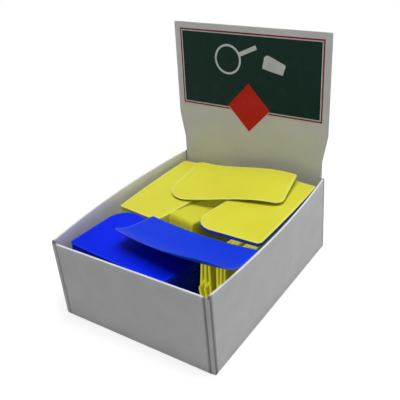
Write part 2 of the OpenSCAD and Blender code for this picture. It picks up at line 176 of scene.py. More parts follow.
# %% The surface of one sheet
BEVEL_W = 3.6
RIM_T = 0.8
BEVEL_INSETS = np.array([5.0, 3.6, 3.1, 2.2, 1.2, 0.5, 0.15, 0.0])


def half_thickness(inset):
    """Half the sheet's thickness: full past the bevel, falling evenly to the rim, and rounded there."""
    share = np.clip(inset / BEVEL_W, 0, 1)
    soft = share * share * (3 - 2 * share)
    taper = (RIM_T + (SCRAPER_T - RIM_T) * (0.6 * share + 0.4 * soft)) / 2
    return taper * np.clip(0.55 + inset / 0.5 * 0.45, 0, 1)


def sheet(arc_steps, edge_steps, inner_rings):
    """One flat sheet round its middle: points, faces, and how thin it is at each point, from 0 to 1."""
    rims = [outline(CORNERS, CORNER_R, arc_steps, edge_steps, inset, EDGE_BOW) - MIDDLE
            for inset in BEVEL_INSETS]
    shares = np.linspace(0, 1, inner_rings + 2)[1:-1, None, None]
    flat = np.concatenate([rims[0][None] * shares, np.stack(rims)])
    insets = np.concatenate([np.full(inner_rings, 9.0), BEVEL_INSETS])
    half = half_thickness(insets)
    thin = np.clip(1 - insets / BEVEL_W, 0, 1)
    rings, around = len(insets), flat.shape[1]
    low = np.dstack([flat, np.broadcast_to(-half[:, None], (rings, around))])
    top = np.dstack([flat, np.broadcast_to(half[:, None], (rings, around))])[::-1]
    points = np.concatenate([low, top]).reshape(-1, 3)
    poles = np.array([[0, 0, -SCRAPER_T / 2], [0, 0, SCRAPER_T / 2]])
    thin = np.concatenate([np.repeat(np.concatenate([thin, thin[::-1]]), around), [0, 0]])
    quads, tris = ring_faces(2 * rings, around)
    return np.concatenate([points, poles]), quads, tris, thin


STACKED = sheet((5, 3, 7, 10), (8, 1, 1, 1), 1)
SINGLE = sheet((8, 5, 12, 20), (32, 12, 24, 16), 9)
print("a stacked sheet has", len(STACKED[0]), "points, a single one", len(SINGLE[0]))


# %% Placing sheets
def turning(x, y, z):
    """The matrix that turns about X, then Y, then Z, in degrees."""
    return np.array(Matrix.Rotation(math.radians(z), 3, "Z") @ Matrix.Rotation(math.radians(y), 3, "Y")
                    @ Matrix.Rotation(math.radians(x), 3, "X"))


def many_sheets(name, base, places, body, replaces):
    """One mesh of many sheets. Each place is a matrix and a shift; sheet k's points become M p + s."""
    points, quads, tris, thin = base
    moved = np.concatenate([points @ matrix.T + shift for matrix, shift in places])
    step = np.arange(len(places))[:, None, None] * len(points)
    tone = np.repeat((np.arange(len(places)) * 0.381966) % 1, len(points))
    return make_piece(
        name, moved, (quads[None] + step).reshape(-1, 4), (tris[None] + step).reshape(-1, 3), body, replaces,
        {"thin": np.tile(thin, len(places)), "tone": tone},
    )


# %% [markdown]
# ## Where the sheets lie
#
# The CAD model puts every sheet down by a few rules: a stack has one place and one pitch, and a small
# steady scatter keeps its edges from lining up like a machined block. The same rules are repeated here,
# with the tray's own sides read from the frame, so each sheet replaces its own solid. A slack is how far
# sheets may lie from their stack's place, to the right, lengthwise, and turned in degrees.

# %% Places in the tray
PLY = 0.7
PLY_GAP = 0.1
WALL_T = 3 * PLY + 2 * PLY_GAP
# How far the side walls' rims bulge out, and how much of it the sheets at the right follow
LEFT_BULGE, RIGHT_BULGE, BULGE_SHARE = 8.0, 6.5, 0.2
tray_x = box_mm("floor_panel")[1][0] + PLY
tray_y = box_mm("rear_wall")[1][1]
tray_h = box_mm("rear_wall")[1][2]
front_h = box_mm("front_wall")[1][2]
inner_x, inner_y = tray_x - WALL_T, tray_y - WALL_T
CARD_LEAN = 2.9
CARD_T = 1.0
CARD_GAP = 0.4
SHEET_GAP = 0.1
LIFT_GAP = 0.3
PITCH = SCRAPER_T + SHEET_GAP
LARGE_R = CORNER_R[3]
card_foot_y = inner_y - CARD_GAP - tray_h * math.tan(math.radians(CARD_LEAN))
card_front_y = card_foot_y - CARD_T
stack_z = PLY + SHEET_GAP
print("tray", round(2 * tray_x, 2), "x", round(2 * tray_y, 2), "x", round(tray_h, 2))


def scatter(i, phase):
    """A steady number between 0 and 1: half of 1 + sin(137.5 i + phase)."""
    return 0.5 + 0.5 * math.sin(math.radians(i * 137.5 + phase))


def flat_places(place, turn, z, count, slack=(0, 0, 0), phase=0):
    """Places of sheets that lie flat from height z up, each a pitch above the last."""
    places = []
    for i in range(count):
        angle = turn + slack[2] * (2 * scatter(i, phase + 140) - 1)
        matrix = turning(0, 0, angle)
        shift = np.array([
            place[0] + slack[0] * scatter(i, phase),
            place[1] + slack[1] * (2 * scatter(i, phase + 70) - 1),
            z + i * PITCH + SCRAPER_T / 2,
        ])
        places.append((matrix, shift + matrix @ np.array([0, MIDDLE[1], 0])))
    return places


FRONT_LEFT_SLACK = (0.6, 0.5, 0.4)
REAR_LEFT_SLACK = (0.3, 0.6, 0.1)
REAR_RIGHT_SLACK = (-0.6, 0.5, 0.2)
FRONT_LEFT_TURN = -4
# Air between the stacks and the left wall, the front wall and the header card
LEFT_SPACE, FRONT_SPACE, REAR_LEFT_SPACE, REAR_RIGHT_SPACE = 3.4, 10.7, 3.1, 2.2
front_left_x = LEFT_SPACE + LONG_EDGE / 2 * math.cos(math.radians(FRONT_LEFT_TURN)) - inner_x
front_left_place = (front_left_x, FRONT_SPACE - inner_y)
rear_left_place = (CARD_GAP + EDGE_BOW - inner_x, card_front_y - REAR_LEFT_SPACE - LONG_EDGE / 2)
rear_right_y = card_front_y - REAR_RIGHT_SPACE - NARROW_LEAN - LONG_EDGE / 2
rear_right_place = (inner_x - CARD_GAP - EDGE_BOW + BULGE_SHARE * RIGHT_BULGE, rear_right_y)
FRONT_LEFT_COUNT, REAR_BLUE_COUNT, REAR_YELLOW_COUNT, LAYER_COUNT = 41, 22, 19, 2
front_left_z = stack_z + FRONT_LEFT_COUNT * PITCH
rear_yellow_z = stack_z + REAR_BLUE_COUNT * PITCH
rear_left_z = rear_yellow_z + REAR_YELLOW_COUNT * PITCH
layer_z = box_mm("rear_right_layer")[0][2]
rear_right_z = layer_z + LAYER_COUNT * PITCH
LIFT_EXTRA = LIFT_GAP - SHEET_GAP

front_left_stack = many_sheets(
    "front_left_scrapers", STACKED,
    flat_places(front_left_place, FRONT_LEFT_TURN, stack_z, FRONT_LEFT_COUNT, FRONT_LEFT_SLACK, 20),
    "tray", ["front_left_stack"])
front_left_top = many_sheets(
    "front_left_top", SINGLE, flat_places(front_left_place, FRONT_LEFT_TURN, front_left_z + LIFT_EXTRA, 1),
    "front_left_top", ["front_left_top_scraper"])
rear_left_blue = many_sheets(
    "rear_left_blue_scrapers", STACKED,
    flat_places(rear_left_place, -90, stack_z, REAR_BLUE_COUNT, REAR_LEFT_SLACK, 65),
    "tray", ["rear_left_blue_stack"])
rear_left_yellow = many_sheets(
    "rear_left_yellow_scrapers", STACKED,
    flat_places(rear_left_place, -90, rear_yellow_z, REAR_YELLOW_COUNT, REAR_LEFT_SLACK, 110),
    "tray", ["rear_left_yellow_stack"])
rear_left_top = many_sheets(
    "rear_left_top", SINGLE, flat_places(rear_left_place, -90, rear_left_z, 1),
    "tray", ["rear_left_top_scraper"])
rear_right_layer = many_sheets(
    "rear_right_layer_scrapers", SINGLE,
    flat_places(rear_right_place, 90, layer_z, LAYER_COUNT, REAR_RIGHT_SLACK, 30), "tray", ["rear_right_layer"])
rear_right_top = many_sheets(
    "rear_right_top", SINGLE, flat_places(rear_right_place, 90, rear_right_z + LIFT_EXTRA, 1),
    "rear_right_top", ["rear_right_top_scraper"])

# %% [markdown]
# ## The scrapers that stand on edge
#
# Three bundles stand on their slanted edges, so their straight edges slope down from the wide ends. A
# standing sheet is the same surface turned up: its length goes along Y, its height along Z. In the front
# bundles every second sheet is turned end for end, and at the left each leans a little more than the one
# before it, which opens the dark wedges between them.


# %% Standing bundles
SLANT = math.atan2(WIDE_END - NARROW_END, LONG_EDGE + NARROW_LEAN)
half_corner = (math.pi / 2 - SLANT) / 2
toe = LARGE_R / math.tan(half_corner) - LARGE_R
standing_len = LONG_EDGE * math.cos(SLANT) + WIDE_END * math.sin(SLANT) - toe


def standing(lean, turned):
    """The place of a sheet that stands on its slanted edge at the origin. The sheet is turned by 180
    degrees and the slant in its own plane, so p becomes (c x - s y, s x + c y), then set upright."""
    way = 1 if turned else -1
    c, s = -math.cos(SLANT), -math.sin(SLANT)
    upright = np.array([[0, 0, way], [way * c, -way * s, 0], [s, c, 0]], float)
    x, y = MIDDLE - CORNERS[3]
    foot = np.array([SCRAPER_T / 2, way * (c * x - s * y), s * x + c * y])
    matrix = turning(0, -lean, 0)
    foot_y = standing_len + toe if turned else -toe
    return matrix @ upright, matrix @ foot + np.array([0, foot_y, stack_z])


def bundle_places(corner, turn, count, step, first_lean=0.0, lean_step=0.0, alternate=False, phase=0):
    """Places of count standing sheets from a corner on, a step apart, the bundle turned about Z."""
    whole = turning(0, 0, turn)
    places = []
    for i in range(count):
        matrix, shift = standing(first_lean + i * lean_step, alternate and i % 2 == 1)
        shift = shift + np.array([i * step, BUNDLE_SLACK * scatter(i, phase), 0])
        places.append((whole @ matrix, whole @ shift + np.array([*corner, 0])))
    return places


MIDDLE_COUNT, LEFT_COUNT, RIGHT_COUNT = 19, 5, 6
LEFT_STEP = PITCH + 2.5
RIGHT_STEP = PITCH + 0.2
# How far a sheet may stand back from its bundle's front, and how much further each one leans
BUNDLE_SLACK, LEAN_STEP, RIGHT_LEAN = 0.8, 1.7, 3.5
# Air between the bundles and the rear left stack, the header card and the right wall
BUNDLE_GAP, MIDDLE_SPACE, RIGHT_SPACE = 1.1, 2.2, 6.6
FRONT_BUNDLE_Y = 40
right_corner_x = inner_x - RIGHT_SPACE - RIGHT_COUNT * RIGHT_STEP
left_corner_x = right_corner_x - LEFT_COUNT * LEFT_STEP
front_corner_y = FRONT_BUNDLE_Y - tray_y
middle_rear_y = card_front_y + NARROW_END * math.tan(math.radians(CARD_LEAN)) - MIDDLE_SPACE
middle_y = middle_rear_y - standing_len * math.cos(SLANT)
run = (middle_y - rear_left_place[1] - LONG_EDGE / 2 + BUNDLE_GAP * math.sin(SLANT)) / math.cos(SLANT)
middle_x = rear_left_place[0] + WIDE_END + BUNDLE_GAP * math.cos(SLANT) + run * math.sin(SLANT)
middle_bundle = many_sheets(
    "middle_bundle_scrapers", STACKED,
    bundle_places((middle_x, middle_y), -math.degrees(SLANT), MIDDLE_COUNT, PITCH, phase=15),
    "tray", ["middle_bundle"])
left_bundle = many_sheets(
    "front_bundle_left_scrapers", STACKED,
    bundle_places((left_corner_x, front_corner_y), 0, LEFT_COUNT, LEFT_STEP, 0, LEAN_STEP, True, 50),
    "tray", ["front_bundle_left"])
right_bundle = many_sheets(
    "front_bundle_right_scrapers", STACKED,
    bundle_places((right_corner_x, front_corner_y), 0, RIGHT_COUNT, RIGHT_STEP, RIGHT_LEAN, 0, True, 50),
    "tray", ["front_bundle_right"])

# %% [markdown]
# ## The two loose scrapers
#
# Thin moulded sheets don't stay flat. The loose blue one curls up along its front edge, so it catches
# the light there, and the loose yellow one is bent in a long wave. A lattice could bend them, but a
# height formula over the flat sheet gives the same bend as the CAD solid has.

# %% Bent sheets
BLUE_CURL_R, BLUE_CURL_START, BLUE_RISE = 51.0, 6.2, 4.9
YELLOW_WAVE = 6.0


def curl_height(x, y):
    """Rises with the square of how far y is below the start, over 2 R, and with the square of x."""
    past = np.maximum(0, BLUE_CURL_START - y)
    return past**2 / (2 * BLUE_CURL_R) + BLUE_RISE * (2 * x / LONG_EDGE) ** 2


def wave_height(x, y):
    """Falls with the cube of x, so one end is up and the other down."""
    return -YELLOW_WAVE * (2 * x / LONG_EDGE) ** 3 + 0 * y


def bent_sheet(name, flip, height, turn, node, body):
    """A single sheet flipped in X and Y, bent by a height formula, turned, and set where its solid lies."""
    points, quads, tris, thin = SINGLE
    points = points * np.array([*flip, 1])
    points[:, 2] += height(points[:, 0], points[:, 1])
    points = points @ turning(*turn).T
    if flip[0] * flip[1] < 0:
        quads, tris = quads[:, ::-1], tris[:, ::-1]
    low, high = box_mm(node)
    points += (low + high) / 2 - (points.min(0) + points.max(0)) / 2
    return make_piece(name, points, quads, tris, body, [node], {"thin": thin, "tone": 0.4 + 0 * thin})


loose_blue = bent_sheet("loose_blue", (-1, -1), curl_height, (-7, 2.3, 0.8), "loose_blue_scraper", "loose_blue")
loose_yellow = bent_sheet(
    "loose_yellow", (1, -1), wave_height, (4.2, -8.2, 2), "loose_yellow_scraper", "loose_yellow")

# %% [markdown]
# ## The tray's walls
#
# Each wall is one strip of board that rises outside, rolls over at the rim and comes down inside, so
# the rim shows two soft folds and no cut edge. A Solidify modifier on a bent strip would do, but the
# profile is simple enough to write down: an outer and an inner line of the strip, carried along the
# wall. The full tray pushes its side walls out, so their rims bulge. Board never stays quite flat, so
# the strip also sinks in and out by a hair along its length.

# %% Rolled-over walls
FOLD_R = 0.55
BASE_R = 0.6
TAB_LEN, TAB_SPACING = 20.0, 96.0
CORNER_STRIP = 5.0
WAVE = 0.16


def strip_lines(h):
    """The strip's two faces as lines of (depth, height): up outside, over the rim, down inside."""
    quarter = np.linspace(0, math.pi / 2, 5)[:, None]
    rise = np.linspace(BASE_R, h - FOLD_R, 14)[1:-1, None]
    over = np.linspace(FOLD_R, WALL_T - FOLD_R, 4)[1:-1, None]
    fall = np.linspace(h - FOLD_R, PLY, 14)[1:, None]
    outer = np.concatenate([
        np.hstack([BASE_R * (1 - np.sin(quarter)), BASE_R * (1 - np.cos(quarter))]),
        np.hstack([0 * rise, rise]),
        np.hstack([FOLD_R * (1 - np.cos(quarter)), h - FOLD_R + FOLD_R * np.sin(quarter)]),
        np.hstack([over, h + 0 * over]),
        np.hstack([WALL_T - FOLD_R * (1 - np.sin(quarter)), h - FOLD_R + FOLD_R * np.cos(quarter)]),
        np.hstack([WALL_T + 0 * fall, fall]),
    ])
    inner = np.stack([
        np.clip(outer[:, 0], PLY, WALL_T - PLY),
        np.minimum(outer[:, 1], h - PLY),
    ], -1)
    crease = np.exp(-np.abs(np.hypot(outer[:, 0] - WALL_T / 2, outer[:, 1] - h) - WALL_T / 2) / 0.35)
    crease *= outer[:, 1] > h - 1.5
    return outer, inner, crease


def rolled_wall(length, h, bulge, phase):
    """A wall along X with its outer face at y = 0: both lines of the strip at every station along it.
    The rim bulges out by bulge (1 - f^2), where f runs from -1 to 1 along the wall, and less further
    down. The board sinks by WAVE times a slow sine along the wall and a half sine up it."""
    outer, inner, crease = strip_lines(h)
    ring = np.concatenate([outer, inner[::-1]])
    x = np.linspace(-length / 2, length / 2, 49)
    grid = np.empty((len(x), len(ring), 3))
    grid[..., 0] = x[:, None]
    sink = np.sin(2 * math.pi * x / 92 + phase) + 0.6 * np.sin(2 * math.pi * x / 41 + 2 * phase)
    sink = WAVE * (sink + 1.6) / 2 * np.cos(math.pi * x / length) ** 0.5
    lift = np.sin(math.pi * np.clip(ring[:, 1] / h, 0, 1)) * 0.8 + 0.2 * ring[:, 1] / h
    grid[..., 1] = ring[None, :, 0] + sink[:, None] * lift[None]
    grid[..., 1] -= bulge * (1 - (2 * x / length) ** 2)[:, None] * (ring[:, 1] / h)[None]
    grid[..., 2] = ring[None, :, 1]
    count = len(ring)
    k, j = np.meshgrid(np.arange(len(x) - 1), np.arange(count), indexing="ij")
    nxt = (j + 1) % count
    quads = np.stack([k * count + j, (k + 1) * count + j, (k + 1) * count + nxt, k * count + nxt], -1)
    quads = quads.reshape(-1, 4)
    m = np.arange(len(outer) - 1)
    cap = np.stack([m, m + 1, count - 2 - m, count - 1 - m], -1)
    quads = np.concatenate([quads, cap, (cap + (len(x) - 1) * count)[:, ::-1]])
    crease = np.tile(np.concatenate([crease, 0 * crease]), len(x))
    cut = np.zeros((len(x), count))
    cut[[0, -1]] = 1
    tabs = [tab_box(side * TAB_SPACING / 2) for side in (-1, 1)]
    start = grid.size // 3
    points = np.concatenate([grid.reshape(-1, 3)] + [t[0] for t in tabs])
    quads = np.concatenate([quads] + [t[1] + start + 8 * n for n, t in enumerate(tabs)])
    extra = np.zeros(16)
    values = {"crease": np.concatenate([crease, extra]), "cut": np.concatenate([cut.ravel(), extra + 1])}
    return points, quads, values


def tab_box(x):
    """A lock tab under the inner strip: the eight corners of a small block, and its six faces."""
    corners = np.array([[a, b, c] for a in (x - TAB_LEN / 2, x + TAB_LEN / 2)
                        for b in (WALL_T - PLY, WALL_T) for c in (0.1, PLY)])
    faces = np.array([[0, 1, 3, 2], [4, 6, 7, 5], [0, 4, 5, 1], [2, 3, 7, 6], [0, 2, 6, 4], [1, 5, 7, 3]])
    return corners, faces


def stand_wall(name, node, length, h, turn, out, bulge, phase):
    """Turns a wall about Z and sets its outer face a distance out from the middle."""
    points, quads, values = rolled_wall(length, h, bulge, phase)
    points = (points + np.array([0, -out, 0])) @ turning(0, 0, turn).T
    return make_piece(name, points, quads, np.zeros((0, 3), int), "tray", [node], values)


end_len = 2 * tray_x - 2 * CORNER_STRIP
side_len = 2 * (tray_y - 2 * PLY - PLY_GAP)
walls = [
    stand_wall("front_board", "front_wall", end_len, front_h, 0, tray_y, 0, 0.4),
    stand_wall("rear_board", "rear_wall", end_len, tray_h, 180, tray_y, 0, 1.9),
    stand_wall("left_board", "left_wall", side_len, tray_h, -90, tray_x, LEFT_BULGE, 3.1),
    stand_wall("right_board", "right_wall", side_len, tray_h, 90, tray_x, RIGHT_BULGE, 4.6),
]

# %% [markdown]
# ## Flaps and header card
#
# At each corner the side wall's board turns the corner as a flap behind the end wall, and a narrow
# strip of it stays in view. The header card is a plain die-cut shape with shoulders. Both are flat
# plates with slightly rounded cut edges, made as rings round their outline like the scrapers.


# %% Plates of board
def plate(corners, radii, arc_steps, thickness, edge_r):
    """A flat plate in X and Y from z = 0 to its thickness, its edges rounded in quarter circles."""
    quarter = np.linspace(0, math.pi / 2, 4)
    insets = np.concatenate([edge_r * (1 - np.sin(quarter)), edge_r * (1 - np.cos(quarter))])
    heights = np.concatenate([edge_r * (1 - np.cos(quarter)), thickness - edge_r + edge_r * np.sin(quarter)])
    insets = np.concatenate([[edge_r + 0.6], insets, [edge_r + 0.6]])
    heights = np.concatenate([[0], heights, [thickness]])
    corners = np.array(corners, float)
    edge_steps = [6] * len(corners)
    rings = [outline(corners, radii, arc_steps, edge_steps, inset) for inset in insets]
    points = np.concatenate([np.column_stack([ring, np.full(len(ring), z)]) for ring, z in zip(rings, heights)])
    middle = corners.mean(0)
    points = np.concatenate([points, [[*middle, 0], [*middle, thickness]]])
    quads, tris = ring_faces(len(rings), len(rings[0]))
    cut = np.concatenate([np.repeat((insets < edge_r * 0.9).astype(float), len(rings[0])), [0, 0]])
    return points, quads, tris, {"cut": cut, "crease": 0 * cut}


FLAP_LEN, FLAP_CHAMFER = 58.0, 6.0


def corner_flap(name, node, h, mirror_x, mirror_y):
    """The front right flap, mirrored to its own corner. Two mirrors keep the faces' sense, one turns it."""
    flap_h = h - 2 * PLY - 2 * PLY_GAP
    corners = [[-FLAP_LEN, FLAP_CHAMFER], [0, 0], [0, flap_h], [FLAP_CHAMFER - FLAP_LEN, flap_h],
               [-FLAP_LEN, flap_h - FLAP_CHAMFER]]
    points, quads, tris, values = plate(corners, [0] * 5, [0] * 5, PLY, 0.3)
    points = np.column_stack([tray_x + points[:, 0], PLY_GAP + 2 * PLY - tray_y - points[:, 2],
                              PLY + PLY_GAP + points[:, 1]])
    points[:, 0] *= mirror_x
    points[:, 1] *= mirror_y
    if mirror_x * mirror_y < 0:
        quads, tris = quads[:, ::-1], tris[:, ::-1]
    return make_piece(name, points, quads, tris, "tray", [node], values)


flaps = [
    corner_flap("front_right_fold", "front_right_flap", front_h, 1, 1),
    corner_flap("front_left_fold", "front_left_flap", front_h, -1, 1),
    corner_flap("rear_right_fold", "rear_right_flap", tray_h, 1, -1),
    corner_flap("rear_left_fold", "rear_left_flap", tray_h, -1, -1),
]

CARD_W, CARD_H = 194.0, 249.0
SHOULDER_LOW, SHOULDER_HIGH = 109.0, 140.0
CARD_R = 1.5
foot_half = inner_x - CARD_GAP
card_corners = [
    [-foot_half, 0], [foot_half, 0], [foot_half, SHOULDER_LOW], [CARD_W / 2, SHOULDER_HIGH],
    [CARD_W / 2, CARD_H], [-CARD_W / 2, CARD_H], [-CARD_W / 2, SHOULDER_HIGH], [-foot_half, SHOULDER_LOW],
]
points, quads, tris, values = plate(
    card_corners, [0, 0, 0, 0, CARD_R, CARD_R, 0, 0], [0, 0, 0, 0, 6, 6, 0, 0], CARD_T, 0.25)
points = points @ turning(90 - CARD_LEAN, 0, 0).T + np.array([0, card_foot_y, PLY + CARD_GAP])
header_card = make_piece("header_board", points, quads, tris, "header", ["header_card"], values)
low, high = box_mm("header_card")
off = np.abs(np.array([points.min(0) - low, points.max(0) - high])).max()
print("card off its solid by", off.round(3), "mm")

# %% [markdown]
# ## Materials
#
# All materials here are node trees, with no images. One helper adds a node, sets its inputs and links
# what is given as a socket. Colours are written as the eye sees them on a screen, in hex, and turned
# into the linear numbers that the renderer needs.


# %% Helpers for materials
def linear(code):
    """sRGB hex to linear RGBA: c / 12.92 for dark values, ((c + 0.055) / 1.055) to the 2.4 above."""
    c = np.array([int(code[k:k + 2], 16) for k in (1, 3, 5)]) / 255
    c = np.where(c <= 0.04045, c / 12.92, ((c + 0.055) / 1.055) ** 2.4)
    return (*c, 1.0)


def add(tree, kind, settings=None, **inputs):
    """Adds a node of a kind with its settings, and sets or links its inputs by name or by number."""
    node = tree.nodes.new("ShaderNode" + kind)
    for key, value in (settings or {}).items():
        setattr(node, key, value)
    for key, value in inputs.items():
        numbered = key[0] == "i" and key[1:].isdigit()
        socket = node.inputs[int(key[1:]) if numbered else key.replace("_", " ")]
        if isinstance(value, bpy.types.NodeSocket):
            tree.links.new(value, socket)
        else:
            socket.default_value = value
    return node


def new_material(name):
    """An empty material, and the tree to build in."""
    material = bpy.data.materials.new(name)
    material.use_nodes = True
    material.node_tree.nodes.clear()
    return material, material.node_tree


def finish_material(tree, shader):
    """Links the shader to the material's output."""
    add(tree, "OutputMaterial", Surface=shader.outputs[0])


def blend_colours(tree, share, first, second, mode="MIX"):
    """The mix of two colours by a share from 0 to 1."""
    mixed = add(tree, "Mix", {"data_type": "RGBA", "blend_type": mode}, i0=share, i6=first, i7=second)
    return mixed.outputs[2]


def stretched(tree, size_mm, along=(1, 1, 1)):
    """Object coordinates in units of a pattern's size, stretched along an axis where asked."""
    place = add(tree, "TexCoord").outputs["Object"]
    scale = [1 / (size_mm * MM * a) for a in along]
    return add(tree, "Mapping", Vector=place, Scale=scale).outputs[0]


def noise(tree, size_mm, detail=2.0, roughness=0.5, along=(1, 1, 1)):
    """Noise whose blotches are about size_mm across."""
    at = stretched(tree, size_mm, along)
    return add(tree, "TexNoise", Vector=at, Scale=1.0, Detail=detail, Roughness=roughness).outputs["Fac"]


def spread(tree, value, low, high, to_low, to_high):
    """Maps a value from one range to another, held at its ends."""
    return add(tree, "MapRange", {"clamp": True}, Value=value, From_Min=low, From_Max=high, To_Min=to_low,
               To_Max=to_high).outputs[0]


# %% [markdown]
# ### Scraper plastic
#
# The scrapers are injection-moulded in a tough nylon-like plastic with a satin surface. Light goes a
# few millimetres into it, so it glows a little, and its thin bevelled rim is painted paler than the
# middle, a painted highlight for the light that passes through it. The yellow rims carry a painted
# glow, light of their own, so a sheet that stands on edge has bright rims even deep in the tray.
# Handling leaves fine scratches that only show as uneven gloss.


# %% Moulded plastic
def moulded_plastic(name, body, rim, shade, rim_highlight_strength, glow, gloss, painted_glow, sheen):
    """Satin plastic: body colour, a paler thin rim painted as a highlight, slow flow marks 30 mm wide,
    scratches 0.5 mm wide.
    glow is the share of light that goes into it, gloss its roughness, painted_glow the strength of the
    painted glow that the rims give off as their own light, and sheen how strongly its surface mirrors."""
    material, tree = new_material(name)
    thin = add(tree, "Attribute", {"attribute_name": "thin"}).outputs["Fac"]
    tone = add(tree, "Attribute", {"attribute_name": "tone"}).outputs["Fac"]
    flow = noise(tree, 30, 3.0, along=(1, 1, 0.4))
    colour = blend_colours(tree, spread(tree, flow, 0.35, 0.7, 0.0, 0.35), linear(body), linear(shade))
    colour = blend_colours(tree, spread(tree, tone, 0, 1, 0.0, 0.22), colour, linear(shade))
    # Painted highlight: the thin rim is painted paler, for the light that passes through it.
    edge = spread(tree, thin, 0.12, 1.0, 0.0, rim_highlight_strength)
    colour = blend_colours(tree, edge, colour, linear(rim))
    scratch = noise(tree, 0.5, 4.0, 0.6, along=(1, 14, 1))
    cloud = noise(tree, 9, 3.0)
    rough = spread(tree, scratch, 0.3, 0.75, gloss - 0.06, gloss + 0.1)
    rough = add(tree, "Math", {"operation": "MULTIPLY_ADD"}, i0=cloud, i1=0.12, i2=rough).outputs[0]
    grain = noise(tree, 0.7, 3.0)
    bump = add(tree, "Bump", Strength=0.12, Distance=0.00008, Height=grain)
    warp = add(tree, "Bump", Strength=0.5, Distance=0.0006, Height=noise(tree, 45, 1.0), Normal=bump.outputs[0])
    shader = add(tree, "BsdfPrincipled", Base_Color=colour, Roughness=rough, Normal=warp.outputs[0], IOR=1.53)
    shader.inputs["Subsurface Weight"].default_value = glow
    shader.inputs["Subsurface Radius"].default_value = (1.0, 1.0, 0.6)
    shader.inputs["Subsurface Scale"].default_value = 0.0022
    shader.inputs["Specular IOR Level"].default_value = sheen
    tree.links.new(colour, shader.inputs["Emission Color"])
    # Painted glow: the rims give off light of their own, strongest where the sheet is thinnest.
    painted_glow_strength = spread(tree, thin, 0.1, 0.9, painted_glow / 12, painted_glow)
    tree.links.new(painted_glow_strength, shader.inputs["Emission Strength"])
    finish_material(tree, shader)
    return material


# All yellow sheets carry a faint painted glow at their rims.
yellow_plastic = moulded_plastic(
    "yellow_moulded_nylon", "#D6D23A", "#DADC7C", "#C9C62C", 0.6, 0.5, 0.42, 0.04, 0.2)
# Copies of the yellow with a stronger painted glow at the rims, most for the sheets on edge at the front, less
# for the middle bundle, so they look lit deep in the tray.
standing_yellow_painted_glow = moulded_plastic(
    "yellow_nylon_on_edge_painted_glow", "#D6D23A", "#D8D64A", "#C9C62C", 0.8, 0.5, 0.42, 0.55, 0.2)
bundled_yellow_painted_glow = moulded_plastic(
    "yellow_nylon_in_bundle_painted_glow", "#D6D23A", "#D8D64A", "#C9C62C", 0.6, 0.5, 0.42, 0.13, 0.2)
blue_plastic = moulded_plastic(
    "blue_moulded_nylon", "#0424E4", "#2448EA", "#031CCC", 0.45, 0.2, 0.42, 0, 0.05)
# A paler copy of the blue, its paleness a painted sheen, for the loose sheet and the layer at the rear right;
# it is also a little duller
paler_blue_painted_sheen = moulded_plastic(
    "blue_nylon_painted_sheen", "#0C38D8", "#3C68EA", "#0830C8", 0.5, 0.2, 0.5, 0, 0.12)
for piece, material, slot in [
    (front_left_stack, blue_plastic, "scraper_blue"), (front_left_top, blue_plastic, "scraper_blue"),
    (rear_left_blue, blue_plastic, "scraper_blue"), (rear_right_layer, paler_blue_painted_sheen, "scraper_blue"),
    (loose_blue, paler_blue_painted_sheen, "scraper_blue"), (rear_left_yellow, yellow_plastic, "scraper_yellow"),
    (rear_left_top, yellow_plastic, "scraper_yellow"), (rear_right_top, yellow_plastic, "scraper_yellow"),
    (middle_bundle, bundled_yellow_painted_glow, "scraper_yellow"), (left_bundle, standing_yellow_painted_glow, "scraper_yellow"),
    (right_bundle, standing_yellow_painted_glow, "scraper_yellow"), (loose_yellow, yellow_plastic, "scraper_yellow"),
]:
    piece.data.materials.append(material)

# %% [markdown]
# ### Coated board
#
# The tray is chipboard with a white clay coating. The coating is nearly smooth, with faint clouds from
# the fibres under it. Along the rim's top fold it is made whiter in broken patches, and a cut edge
# shows the grey brown chip inside.


# %% Board
def coated_board(name, face, cloud_colour, chip, cloud_mm):
    """Clay-coated board: fibre clouds, a fine paper grain, whiter patches along the rim's top fold and raw cut
    edges.
    """
    material, tree = new_material(name)
    cut = add(tree, "Attribute", {"attribute_name": "cut"}).outputs["Fac"]
    crease = add(tree, "Attribute", {"attribute_name": "crease"}).outputs["Fac"]
    clouds = noise(tree, cloud_mm, 4.0, 0.55)
    fibres = noise(tree, 1.6, 5.0, 0.65)
    colour = blend_colours(tree, spread(tree, clouds, 0.35, 0.68, 0.0, 0.6), linear(face), linear(cloud_colour))
    colour = blend_colours(tree, spread(tree, fibres, 0.45, 0.75, 0.0, 0.18), colour, linear(cloud_colour))
    fold_patches = spread(tree, noise(tree, 1.1, 4.0, 0.7), 0.4, 0.6, 0.2, 1.0)
    fold_whitening = add(tree, "Math", {"operation": "MULTIPLY"}, i0=crease, i1=fold_patches).outputs[0]
    colour = blend_colours(tree, spread(tree, fold_whitening, 0, 1, 0, 0.55), colour, linear("#F4F4F2"))
    chips = blend_colours(tree, noise(tree, 0.8, 3.0), linear(chip), linear("#A9A7A2"))
    colour = blend_colours(tree, spread(tree, cut, 0.2, 0.9, 0, 1), colour, chips)
    grain = add(tree, "Bump", Strength=0.25, Distance=0.00006, Height=fibres)
    folds = add(tree, "Bump", Strength=0.4, Distance=0.0001, Height=fold_whitening, Normal=grain.outputs[0])
    waves = noise(tree, 38, 2.0)
    slow = add(tree, "Bump", Strength=0.5, Distance=0.0007, Height=waves, Normal=folds.outputs[0])
    rough = spread(tree, clouds, 0.3, 0.7, 0.5, 0.62)
    shader = add(tree, "BsdfPrincipled", Base_Color=colour, Roughness=rough, Normal=slow.outputs[0], IOR=1.5)
    shader.inputs["Specular IOR Level"].default_value = 0.3
    finish_material(tree, shader)
    return material


